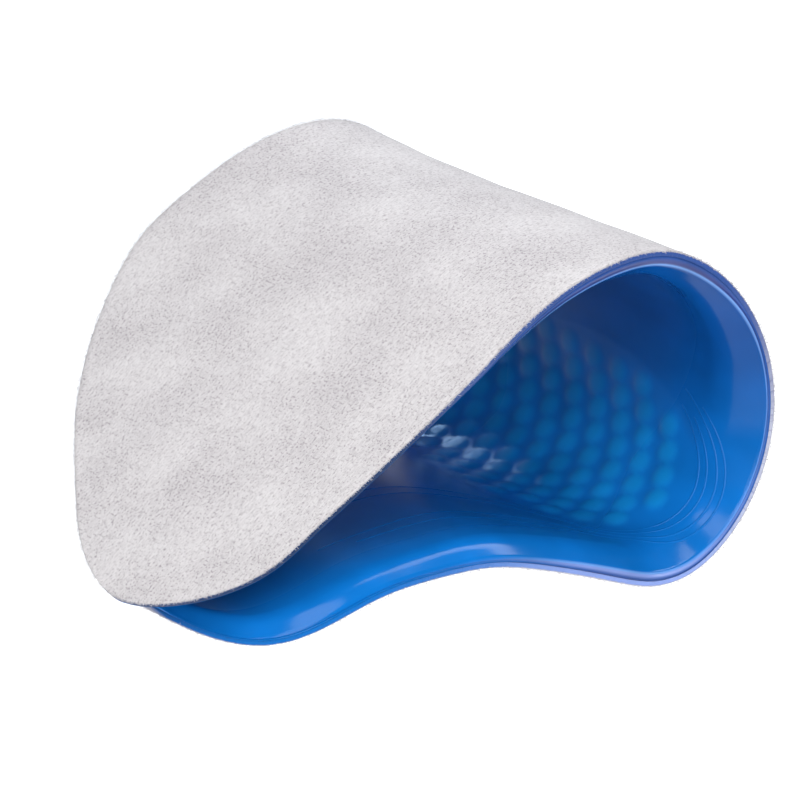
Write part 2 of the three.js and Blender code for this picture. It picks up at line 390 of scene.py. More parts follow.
# Soft unevenness of the cloth: two crossed waves, each bent by a slower one, with the millimetres that a radian
# of each takes, and the power with which they die out towards the cut edge
Wave = namedtuple("Wave", "length bend bend_length")
WAVE_ALONG = Wave(5.3, 1.7, 8.1)
WAVE_ACROSS = Wave(6.7, 1.3, 9.4)
WAVE_FADE = 8


def lip_share(outward):
    """Share of the lip's drop that is left, from 1 at the edge to 0 where the face starts."""
    outward = np.clip(outward, 0, 1)
    flank = 1 - outward / ((1 + LIP_FLANK) / 2)
    rounding = (1 - outward) ** 2 / (1 - LIP_FLANK ** 2)
    return np.where(outward < LIP_FLANK, flank, rounding)


def field_reach(along, across, margin=0):
    """How far out in the dotted field a place lies, 1 on its outline or at a margin inside that."""
    return np.hypot((along - FIELD.along) / (FIELD.half_along - margin),
                    (across - FIELD.across) / (FIELD.half_across - margin))


def field_groove(along, across):
    """Share of the groove's depth, 1 on the outline of the dotted field."""
    outside = (field_reach(along, across) - 1) * (FIELD.half_along + FIELD.half_across) / 2
    return np.exp(-(outside / GROOVE_WIDTH) ** 2)


def field_share(along, across):
    """1 inside the dotted field and 0 outside it, with a soft outline."""
    return np.clip((FIELD_END - field_reach(along, across)) / FIELD_FADE, 0, 1)


def gel_face(sole, layers, along, across):
    """Depth of the gel face without its dots: it slopes down at the lip and dips in the groove."""
    half = sole.half_width(along)
    lean = layers.lip_lean / MM
    from_lip = half - lean * np.minimum(1, half / LIP_ROOM) - np.abs(across - sole.middle(along))
    outward = from_lip / sole.outline_slant(along) / (sole.reach(along) - lean)
    drop = (sole.gel(along) - sole.edge(along)) * lip_share(outward)
    return layers.gel_back / MM + sole.gel(along) - drop - layers.groove / MM * field_groove(along, across)


def ripple(wave, way, cross):
    """One wave of the cloth's unevenness, which runs one way and is bent by the other."""
    return np.sin(way / wave.length + wave.bend * np.sin(cross / wave.bend_length))


def ring_mesh(name, points, along, across, attributes):
    """A closed mesh skinned over rings of points and capped at both tips, with a UV map of the flat sole."""
    rings, count = points.shape[:2]
    near = np.arange(rings - 1)[:, None] * count + np.arange(count)
    side = np.arange(rings - 1)[:, None] * count + (np.arange(count) + 1) % count
    quads = np.stack([near, near + count, side + count, side], axis=-1).reshape(-1, 4)
    caps = [list(range(count)), list(range(rings * count - 1, (rings - 1) * count - 1, -1))]
    mesh = bpy.data.meshes.new(name)
    mesh.from_pydata(points.reshape(-1, 3).tolist(), [], quads.tolist() + caps)
    mesh.shade_smooth()
    for attribute, values in attributes.items():
        layer = mesh.attributes.new(attribute, "FLOAT", "POINT")
        layer.data.foreach_set("value", np.broadcast_to(values, (rings, count)).ravel())
    corner = np.empty(len(mesh.loops), int)
    mesh.loops.foreach_get("vertex_index", corner)
    flat = np.stack(np.broadcast_arrays(across, along), axis=-1).reshape(-1, 2) * MM / sole_length()
    mesh.uv_layers.new(name=FLAT_UV).data.foreach_set("uv", flat[corner].ravel())
    return mesh


def sole_length():
    """Length of the flat sole in metres, to which the UV map is fitted."""
    return bpy.context.scene.insole_layers.length


def new_object(name, data):
    """An object at the origin for a mesh, a light or a camera."""
    made = bpy.data.objects.new(name, data)
    bpy.context.scene.collection.objects.link(made)
    return made


# Sockets of a Mix node that mixes colours
MIX_A = 6
MIX_B = 7
MIX_RESULT = 2


def add_node(tree, kind, links=None, **settings):
    """Adds a node to a tree; links gives each input socket a value or the output that feeds it."""
    node = tree.nodes.new(kind)
    for setting, value in settings.items():
        setattr(node, setting, value)
    for socket, source in (links or {}).items():
        if isinstance(source, bpy.types.NodeSocket):
            tree.links.new(source, node.inputs[socket])
        else:
            node.inputs[socket].default_value = source
    return node


def new_material(name):
    """An empty node material and its tree."""
    material = bpy.data.materials.new(name)
    material.use_nodes = True
    material.node_tree.nodes.clear()
    return material, material.node_tree


def rgba(colour):
    """A colour property as a shader colour."""
    return (*colour, 1.0)


def per_mm(millimetres):
    """Pattern scale on the flat-pattern UV map for a feature of this real size."""
    return sole_length() / (millimetres * MM)


# Real sizes of the patterns, in millimetres. The nap's fibres are 0.02 mm thick, and are drawn as strokes that show,
# turned by some degrees.
SUEDE_PORE = 1.25
SUEDE_STROKE_WIDTH = 0.32
SUEDE_STROKE_LENGTH = 1.3
SUEDE_STROKE_TURN = 20
SUEDE_SPECK = 0.42
SUEDE_BLOTCH = 16
SUEDE_BUMP = 0.16
GEL_CLOUD = 14
GEL_WAVE = 7
GEL_BUMP = 0.4

# Roughness of the gel on its polished lip, on its satin face, and on that face where its blue is deep
GEL_POLISHED = 0.14
GEL_SATIN = 0.3
GEL_DULL = 0.55


def suede_material():
    """Microfibre suede, sanded to a short nap.

    The eye gets no shine, only a fine speckle of pores and fibre strokes, soft darker blotches where
    the nap was brushed the other way, and a faint rim of light along what turns away. Its cut edge is
    stained by the gel, with painted shade where that edge lies in shade and a painted lit lavender where it is lit.
    """
    finish = bpy.context.scene.insole_finish
    material, tree = new_material("microfibre_suede")
    flat = add_node(tree, "ShaderNodeUVMap", uv_map=FLAT_UV).outputs["UV"]
    pore = add_node(tree, "ShaderNodeTexVoronoi", {"Vector": flat, "Scale": per_mm(SUEDE_PORE), "Randomness": 0.9})
    stroke_grid = add_node(tree, "ShaderNodeMapping", {
        "Vector": flat,
        "Rotation": (0, 0, math.radians(SUEDE_STROKE_TURN)),
        "Scale": (per_mm(SUEDE_STROKE_WIDTH), per_mm(SUEDE_STROKE_LENGTH), 1),
    })
    stroke = add_node(tree, "ShaderNodeTexNoise", {
        "Vector": stroke_grid.outputs["Vector"], "Scale": 1.0, "Detail": 2.0, "Distortion": 0.6})
    speck = add_node(tree, "ShaderNodeTexNoise", {"Vector": flat, "Scale": per_mm(SUEDE_SPECK), "Detail": 1.0})
    blotch = add_node(tree, "ShaderNodeTexNoise", {"Vector": flat, "Scale": per_mm(SUEDE_BLOTCH), "Detail": 2.0})
    rubbed = add_node(tree, "ShaderNodeMapRange", {
        "Value": blotch.outputs["Fac"], "From Min": 0.35, "From Max": 0.65, "To Min": 0.4, "To Max": 0.85})
    # Each pattern darkens the face: the two ends of its values, and how dark it is at either end
    dark = 0.0
    for pattern, low, high, dark_at_low, dark_at_high in (
        (speck.outputs["Fac"], 0.33, 0.43, rubbed.outputs[0], 0.0),
        (stroke.outputs["Fac"], 0.35, 0.6, 0.32, 0.0),
        (pore.outputs["Distance"], 0.05, 0.35, 0.4, 0.0),
        (blotch.outputs["Fac"], 0.35, 0.7, 0.0, 0.24),
    ):
        shade = add_node(tree, "ShaderNodeMapRange", {
            "Value": pattern, "From Min": low, "From Max": high, "To Min": dark_at_low, "To Max": dark_at_high})
        dark = add_node(tree, "ShaderNodeMath", {0: dark, 1: shade.outputs[0]},
                        operation="ADD", use_clamp=True).outputs[0]
    face = add_node(tree, "ShaderNodeMix", {
        "Factor": dark, MIX_A: rgba(finish.suede), MIX_B: rgba(finish.suede_shade)}, data_type="RGBA")
    soak, deep, pale = (add_node(tree, "ShaderNodeAttribute", attribute_name=name).outputs["Fac"]
                        for name in ("soak", "deep", "pale"))
    # Painted shade: the stain turns to a shaded colour where the deep share is high
    thin_stain_and_shade = add_node(tree, "ShaderNodeMix", {
        "Factor": deep, MIX_A: rgba(finish.soaked_thin), MIX_B: rgba(finish.soaked_in_shade)}, data_type="RGBA")
    # Painted light: where the edge is pale it shows a lit lavender, giving way to the plain stain where the deep
    # share paints shade
    pale_stain = add_node(tree, "ShaderNodeMix", {
        "Factor": deep, MIX_A: rgba(finish.edge_lit), MIX_B: rgba(finish.soaked)}, data_type="RGBA")
    stain = add_node(tree, "ShaderNodeMix", {
        "Factor": pale, MIX_A: thin_stain_and_shade.outputs[MIX_RESULT], MIX_B: pale_stain.outputs[MIX_RESULT],
    }, data_type="RGBA")
    colour = add_node(tree, "ShaderNodeMix", {
        "Factor": soak, MIX_A: face.outputs[MIX_RESULT], MIX_B: stain.outputs[MIX_RESULT]}, data_type="RGBA")
    bump = add_node(tree, "ShaderNodeBump", {
        "Height": dark, "Strength": 0.55, "Distance": SUEDE_BUMP * MM}, invert=True)
    shader = add_node(tree, "ShaderNodeBsdfPrincipled", {
        "Base Color": colour.outputs[MIX_RESULT],
        "Normal": bump.outputs["Normal"],
        "Roughness": 0.95,
        "Specular IOR Level": 0.15,
        "Sheen Weight": 0.08,
        "Sheen Roughness": 0.5,
    })
    add_node(tree, "ShaderNodeOutputMaterial", {"Surface": shader.outputs["BSDF"]})
    return material


def gel_material():
    """Cast polyurethane gel, poured blue into a mould that is polished along the lip and satin inside it.

    The eye gets deep saturated blue with wet reflections on the lip and soft ones on the face. Light and shade
    are partly painted into its colour: a darker blue where the loop lies in shade, a lighter blue on the dot
    crowns as if lit, a lit and a shaded colour on the cut side, and a painted highlight along the lip. The dots
    are also a little greener.
    """
    finish = bpy.context.scene.insole_finish
    material, tree = new_material("cast_blue_gel")
    flat = add_node(tree, "ShaderNodeUVMap", uv_map=FLAT_UV).outputs["UV"]
    dome, field, deep, level, pale, rim, lip, satin = (
        add_node(tree, "ShaderNodeAttribute", attribute_name=name).outputs["Fac"]
        for name in ("dome", "field", "deep", "level", "pale", "rim", "lip", "satin"))
    cloud = add_node(tree, "ShaderNodeTexNoise", {"Vector": flat, "Scale": per_mm(GEL_CLOUD), "Detail": 2.0})
    wave = add_node(tree, "ShaderNodeTexNoise", {"Vector": flat, "Scale": per_mm(GEL_WAVE), "Detail": 1.0})
    # Painted light: the bare cut side in a lit colour, turning to a shaded colour where the deep share is high
    bare_side = add_node(tree, "ShaderNodeMix", {
        "Factor": deep, MIX_A: rgba(finish.edge_lit), MIX_B: rgba(finish.edge_in_shade)}, data_type="RGBA")
    bare = add_node(tree, "ShaderNodeMapRange", {"Value": level, "From Min": 0.2, "From Max": 0.6})
    pale_side = add_node(tree, "ShaderNodeMix", {
        "Factor": bare.outputs[0], MIX_A: rgba(finish.soaked), MIX_B: bare_side.outputs[MIX_RESULT],
    }, data_type="RGBA")
    side = add_node(tree, "ShaderNodeMix", {
        "Factor": pale, MIX_A: rgba(finish.soaked_thin), MIX_B: pale_side.outputs[MIX_RESULT]}, data_type="RGBA")
    # Painted highlight along the rounded lip, where the edge is pale
    lip_highlight_share = add_node(tree, "ShaderNodeMath", {0: lip, 1: pale}, operation="MULTIPLY")
    # Each colour lies over the ones before it, by its own share. The dot crowns are partly painted light, the deep
    # share lays on painted shade, the cut side has painted lit and shaded colours, and the lip a painted highlight
    blue = rgba(finish.gel_thin)
    for share, over in (
        (field, rgba(finish.gel_field)),
        (dome, rgba(finish.gel_dot_tint_and_light)),
        (deep, rgba(finish.gel_in_shade)),
        (rim, side.outputs[MIX_RESULT]),
        (lip_highlight_share.outputs[0], rgba(finish.gel_lip_highlight)),
    ):
        blue = add_node(tree, "ShaderNodeMix", {
            "Factor": share, MIX_A: blue, MIX_B: over}, data_type="RGBA").outputs[MIX_RESULT]
    cloudy = add_node(tree, "ShaderNodeMapRange", {
        "Value": cloud.outputs["Fac"], "From Min": 0.3, "From Max": 0.7, "To Min": 0.88, "To Max": 1.12})
    colour = add_node(tree, "ShaderNodeHueSaturation", {"Value": cloudy.outputs[0], "Color": blue})
    dull = add_node(tree, "ShaderNodeMapRange", {"Value": deep, "To Min": GEL_SATIN, "To Max": GEL_DULL})
    rough = add_node(tree, "ShaderNodeMapRange", {
        "Value": satin, "To Min": GEL_POLISHED, "To Max": dull.outputs[0]})
    bump = add_node(tree, "ShaderNodeBump", {
        "Height": wave.outputs["Fac"], "Strength": 0.05, "Distance": GEL_BUMP * MM})
    shader = add_node(tree, "ShaderNodeBsdfPrincipled", {
        "Base Color": colour.outputs["Color"],
        "Normal": bump.outputs["Normal"],
        "Roughness": rough.outputs[0],
        "IOR": 1.4,
        "Specular IOR Level": 0.2,
    })
    add_node(tree, "ShaderNodeOutputMaterial", {"Surface": shader.outputs["BSDF"]})
    return material


def fibre_material():
    """Loose microfibres along a cut edge, which catch the light and read as pale fuzz."""
    finish = bpy.context.scene.insole_finish
    material, tree = new_material("microfibre_fuzz")
    place = add_node(tree, "ShaderNodeTexCoord").outputs["Object"]
    mottle = add_node(tree, "ShaderNodeTexNoise", {"Vector": place, "Scale": 1 / (SUEDE_PORE * MM), "Detail": 1.0})
    light = add_node(tree, "ShaderNodeMapRange", {"Value": mottle.outputs["Fac"], "To Max": 0.4})
    colour = add_node(tree, "ShaderNodeMix", {
        "Factor": light.outputs[0], MIX_A: rgba(finish.suede), MIX_B: rgba(finish.suede_shade)}, data_type="RGBA")
    shader = add_node(tree, "ShaderNodeBsdfPrincipled", {
        "Base Color": colour.outputs[MIX_RESULT], "Roughness": 0.9, "Specular IOR Level": 0.2, "Sheen Weight": 0.3})
    add_node(tree, "ShaderNodeOutputMaterial", {"Surface": shader.outputs["BSDF"]})
    return material


def floor_material():
    """Matte white paper on a light table: an even pale ground without gloss."""
    colour = rgba(bpy.context.scene.insole_stage.floor_colour)
    material, tree = new_material("matte_paper")
    shader = add_node(tree, "ShaderNodeBsdfPrincipled", {
        "Base Color": colour,
        "Roughness": 1.0,
        "Specular IOR Level": 0.0,
        "Emission Color": colour,
        "Emission Strength": 0.6,
    })
    add_node(tree, "ShaderNodeOutputMaterial", {"Surface": shader.outputs["BSDF"]})
    return material


def new_tree(name, inputs):
    """A Geometry Nodes tree with named inputs, and the sockets that they arrive at."""
    tree = bpy.data.node_groups.new(name, "GeometryNodeTree")
    tree.interface.new_socket("Geometry", in_out="OUTPUT", socket_type="NodeSocketGeometry")
    tree.interface.new_socket("Geometry", in_out="INPUT", socket_type="NodeSocketGeometry")
    for label, kind in inputs.items():
        tree.interface.new_socket(label, in_out="INPUT", socket_type=kind)
    return tree, tree.nodes.new("NodeGroupInput").outputs


def close_tree(tree, geometry, material):
    """Ends a tree with real, smooth geometry in one material."""
    real = add_node(tree, "GeometryNodeRealizeInstances", {"Geometry": geometry})
    smooth = add_node(tree, "GeometryNodeSetShadeSmooth", {"Geometry": real.outputs["Geometry"]})
    coated = add_node(tree, "GeometryNodeSetMaterial", {"Geometry": smooth.outputs["Geometry"], "Material": material})
    add_node(tree, "NodeGroupOutput", {"Geometry": coated.outputs["Geometry"]})


def grow(piece, tree, values):
    """Runs a tree on a piece and keeps the result as its plain mesh."""
    modifier = piece.modifiers.new(tree.name, "NODES")
    modifier.node_group = tree
    for item in tree.interface.items_tree:
        if item.in_out == "INPUT" and item.name in values:
            modifier[item.identifier] = values[item.name]
    graph = bpy.context.evaluated_depsgraph_get()
    mesh = bpy.data.meshes.new_from_object(
        piece.evaluated_get(graph), preserve_all_data_layers=True, depsgraph=graph)
    piece.modifiers.remove(modifier)
    piece.data = mesh
    if not mesh.polygons:
        raise RuntimeError(f"{piece.name}: the tree {tree.name} made no faces")


def line_mesh(name, paths, attributes):
    """A mesh of open or closed lines; each path has its points and whether it closes."""
    points, edges = [], []
    for path, closed in paths:
        first = len(points)
        points.extend(path.tolist())
        edges.extend((first + k, first + k + 1) for k in range(len(path) - 1))
        if closed:
            edges.append((len(points) - 1, first))
    mesh = bpy.data.meshes.new(name)
    mesh.from_pydata(points, edges, [])
    for attribute, values in attributes.items():
        values = np.asarray(values, float)
        kind, slot = ("FLOAT", "value") if values.ndim == 1 else ("FLOAT_VECTOR", "vector")
        mesh.attributes.new(attribute, kind, "POINT").data.foreach_set(slot, values.ravel())
    return mesh


class INSOLE_OT_gel_sole(bpy.types.Operator):
    """Casts the gel sole with its rounded lip and its field of cushion dots"""

    bl_idname = "insole.gel_sole"
    bl_label = "Gel Sole"

    def execute(self, context):
        layers, relief = context.scene.insole_layers, context.scene.insole_relief
        sole = FoldedSole(layers.length)
        piece = new_object("gel_sole_cast", self.sheet(sole, layers))
        centres = self.dot_centres(sole, layers)
        grow(piece, self.dot_tree(), {
            "Centres": centres,
            "Radius": relief.dot_radius,
            "Height": relief.dot_height,
            "Material": gel_material(),
        })
        bpy.data.objects.remove(centres)
        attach(piece, BODY)
        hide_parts("gel_sole")
        return {"FINISHED"}

    @staticmethod
    def dot_tree():
        """Raises a sheet into a round dot at each centre, and keeps how far each point rises."""
        tree, given = new_tree("Cushion Dots", {
            "Centres": "NodeSocketObject",
            "Radius": "NodeSocketFloat",
            "Height": "NodeSocketFloat",
            "Material": "NodeSocketMaterial",
        })
        dots = add_node(tree, "GeometryNodeObjectInfo", {"Object": given["Centres"]}, transform_space="RELATIVE")
        nearest = add_node(tree, "GeometryNodeProximity", {0: dots.outputs["Geometry"]}, target_element="POINTS")
        outward = add_node(tree, "ShaderNodeMath", {0: nearest.outputs["Distance"], 1: given["Radius"]},
                           operation="DIVIDE", use_clamp=True)
        fuller = add_node(tree, "ShaderNodeMath", {
            0: outward.outputs[0], 1: outward.outputs[0]}, operation="MULTIPLY")
        dome = add_node(tree, "ShaderNodeMapRange", {
            "Value": fuller.outputs[0], "To Min": 1.0, "To Max": 0.0}, interpolation_type="SMOOTHSTEP").outputs[0]
        rise = add_node(tree, "ShaderNodeMath", {0: dome, 1: given["Height"]}, operation="MULTIPLY")
        normal = add_node(tree, "GeometryNodeInputNormal")
        offset = add_node(tree, "ShaderNodeVectorMath", {0: normal.outputs["Normal"], "Scale": rise.outputs[0]},
                          operation="SCALE")
        kept = add_node(tree, "GeometryNodeStoreNamedAttribute", {
            "Geometry": given["Geometry"], "Name": "dome", "Value": dome}, data_type="FLOAT", domain="POINT")
        raised = add_node(tree, "GeometryNodeSetPosition", {
            "Geometry": kept.outputs["Geometry"], "Offset": offset.outputs[0]})
        close_tree(tree, raised.outputs["Geometry"], given["Material"])
        return tree

    @staticmethod
    def sheet(sole, layers):
        """The gel sheet without its dots: back, cut sides, sloping lip and open face."""
        along = sole.stations()[:, None]
        half = sole.half_width(along)
        room = np.minimum(1, half / LIP_ROOM)
        back = layers.gel_back / MM
        edge = back + sole.edge(along)
        lean = layers.lip_lean / MM * room
        radius = np.minimum(layers.lip_radius / MM, sole.edge(along)) * room
        turns = np.radians(EDGE_TURNS)
        side_inset = np.concatenate([lean * share for share in SIDE_LEVELS]
                                    + [lean + radius * (1 - math.cos(turn)) for turn in turns], axis=1)
        side_depth = np.concatenate([back + (edge - back) * share for share in SIDE_LEVELS]
                                    + [edge - radius * (1 - math.sin(turn)) for turn in turns], axis=1)
        lip = np.concatenate([lean + radius] + [step * room for step in LIP_COLUMNS], axis=1)
        inner = half - lip[:, -1:]
        shares = np.linspace(-1, 1, GEL_FACE_COLUMNS + 1)[1:-1]
        offset = np.concatenate([lip - half, shares * inner, (half - lip)[:, ::-1]], axis=1)
        face_depth = gel_face(sole, layers, along, sole.middle(along) + offset)
        back_offset = np.linspace(-1, 1, GEL_BACK_COLUMNS + 1) * half
        bands = [
            Band(back_offset, back + 0 * back_offset, 1.0, 0.0),
            Band(half - side_inset, side_depth, SIDE_RIM, SIDE_LIP_HIGHLIGHT),
            Band(offset[:, ::-1], face_depth[:, ::-1], 0.0, 0.0),
            Band((side_inset - half)[:, ::-1], side_depth[:, ::-1], SIDE_RIM[::-1], SIDE_LIP_HIGHLIGHT[::-1]),
        ]
        across = sole.middle(along) + np.concatenate([band.offset for band in bands], axis=1)
        depth = np.concatenate([band.depth for band in bands], axis=1)
        rim, lip_highlight = (
            np.concatenate([np.broadcast_to(getattr(band, share), band.offset.shape[1]) for band in bands])
            for share in ("rim", "lip"))
        from_edge = half - np.abs(across - sole.middle(along))
        return ring_mesh("gel_sole_cast", sole.points(along, across, depth), along, across, {
            "rim": rim,
            "lip": lip_highlight,
            "level": (depth - back) / (edge - back),
            # The deep share is painted shade; the pale share lets the cut side show its painted lit and shaded
            # colours
            "deep": sole.deep(along),
            "pale": sole.pale(along),
            "field": field_share(along, across),
            "satin": np.clip((from_edge / sole.reach(along) - 1) / SATIN_FADE, 0, 1),
        })

    @staticmethod
    def dot_centres(sole, layers):
        """Loose points at the dots inside the field, in rows and columns a little askew."""
        steps = np.arange(-DOT_LIMIT, DOT_LIMIT + 1)
        row, column = (grid.ravel() for grid in np.meshgrid(steps, steps))
        along = DOT_FIRST.along + row * DOT_ROW.along + column * DOT_COLUMN.along
        across = DOT_FIRST.across + row * DOT_ROW.across + column * DOT_COLUMN.across
        inside = field_reach(along, across, FIELD.margin) < 1
        along, across = along[inside], across[inside]
        points = sole.points(along, across, gel_face(sole, layers, along, across))
        mesh = bpy.data.meshes.new("dot_centres")
        mesh.from_pydata(points.tolist(), [], [])
        return new_object("dot_centres", mesh)


class INSOLE_OT_flow_lines(bpy.types.Operator):
    """Casts the ring lines round the dotted field and the flow ribs towards the heel"""

    bl_idname = "insole.flow_lines"
    bl_label = "Flow Lines"

    tail_steps = 40
    round_steps = 60
    section_sides = 12
    # Share of the way along a line, and share of its full radius there
    taper = ((0, 0.8), (0.12, 1.0), (0.35, 1.0), (0.5, 0.9), (0.9, 0.895), (1, 0.8))
    # How satin the lines are, between the polished lip and the face
    satin = 0.7

    def execute(self, context):
        layers, relief = context.scene.insole_layers, context.scene.insole_relief
        sole = FoldedSole(layers.length)
        paths, taper, deep, satin = [], [], [], []
        for line in FLOW_LINES:
            along, across = self.path(line)
            depth = gel_face(sole, layers, along, across) - relief.line_sunk / MM
            paths.append((sole.points(along, across, depth), False))
            taper.extend(np.interp(np.linspace(0, 1, len(along)), *zip(*self.taper)))
            # The lines take the same painted shade from the deep share as the gel around them
            deep.extend(sole.deep(along))
            satin.extend([self.satin] * len(along))
        piece = new_object("gel_flow_lines", line_mesh("gel_flow_lines", paths, {
            "taper": taper, "deep": deep, "satin": satin}))
        grow(piece, self.line_tree(), {
            "Radius": relief.line_radius,
            "Material": bpy.data.materials["cast_blue_gel"],
        })
        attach(piece, BODY)
        return {"FINISHED"}

    def line_tree(self):
        """Sweeps a round section along each line, as thick as its taper says."""
        tree, given = new_tree("Flow Lines", {"Radius": "NodeSocketFloat", "Material": "NodeSocketMaterial"})
        line = add_node(tree, "GeometryNodeMeshToCurve", {"Mesh": given["Geometry"]})
        share = add_node(tree, "GeometryNodeInputNamedAttribute", {"Name": "taper"}, data_type="FLOAT")
        tapered = add_node(tree, "GeometryNodeSetCurveRadius", {
            "Curve": line.outputs["Curve"], "Radius": share.outputs["Attribute"]})
        section = add_node(tree, "GeometryNodeCurvePrimitiveCircle", {
            "Resolution": self.section_sides, "Radius": given["Radius"]})
        swept = add_node(tree, "GeometryNodeCurveToMesh", {
            "Curve": tapered.outputs["Curve"], "Profile Curve": section.outputs["Curve"], "Fill Caps": True})
        close_tree(tree, swept.outputs["Mesh"], given["Material"])
        return tree

    def path(self, line):
        """A flow line on the flat sole: a smooth tail from the heel side, then a run round the dotted field."""
        turn = np.radians(np.linspace(line.joins, line.ends, self.round_steps + 1))
        wide, tall = FIELD.half_along + line.outside, FIELD.half_across + line.outside
        around = np.stack([FIELD.along + wide * np.cos(turn), FIELD.across + tall * np.sin(turn)])
        start, join = np.array([line.along, line.across]), around[:, 0]
        reach = np.linalg.norm(join - start)
        leave = np.array([-1.0, 0.0]) * reach
        arrive = np.array([wide * np.sin(turn[0]), -tall * np.cos(turn[0])])
        arrive *= reach / np.linalg.norm(arrive)
        t = np.linspace(0, 1, self.tail_steps + 1)[:-1]
        tail = (np.outer(start, (1 + 2 * t) * (1 - t) ** 2) + np.outer(leave, t * (1 - t) ** 2)
                + np.outer(join, t * t * (3 - 2 * t)) + np.outer(arrive, t * t * (t - 1)))
        return np.concatenate([tail, around], axis=1)


class INSOLE_OT_suede_cover(bpy.types.Operator):
    """Lays the suede cloth over the bent sole, one sheet from toe to heel"""

    bl_idname = "insole.suede_cover"
    bl_label = "Suede Cover"

    def execute(self, context):
        layers = context.scene.insole_layers
        sole = FoldedSole(layers.length)
        piece = new_object("suede_cover", self.sheet(sole, layers))
        piece.data.materials.append(suede_material())
        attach(piece, BODY)
        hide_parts("fabric_cover")
        width = 2 * float(np.max(sole.half_width(sole.steps))) * MM
        sole.flat_area()
        return {"FINISHED"}

    @staticmethod
    def sheet(sole, layers):
        """The cloth with its soft unevenness and its rolled cut edge."""
        along = sole.stations()[:, None]
        half = sole.half_width(along)
        thickness = layers.cloth / MM
        shares = np.linspace(-1, 1, CLOTH_COLUMNS + 1)
        outer = shares * (half - np.minimum(EDGE_ROLL, EDGE_ROLL_MOST * half))
        place = sole.middle(along) + outer
        wave = ripple(WAVE_ALONG, along, place) * ripple(WAVE_ACROSS, place, along)
        levels = [level.share * thickness + 0 * half for level in CUT_LEVELS]
        soaked = [level.soak for level in CUT_LEVELS]
        across = np.concatenate([outer] + [half] * len(levels)
                                + [shares[::-1] * half] + [-half] * len(levels), axis=1)
        depth = np.concatenate([layers.cloth_wave / MM * wave * (1 - shares ** WAVE_FADE)] + levels
                               + [thickness + 0 * shares * half] + levels[::-1], axis=1)
        soak = sole.soak(along) * np.concatenate([0 * shares, soaked, 1 + 0 * shares, soaked[::-1]])
        across = sole.middle(along) + across
        # The deep and pale shares carry the painted shade and painted lit colour of the stained cut edge
        return ring_mesh("suede_cover", sole.points(along, across, depth), along, across, {
            "soak": soak, "pale": sole.pale(along), "deep": sole.deep(along)})


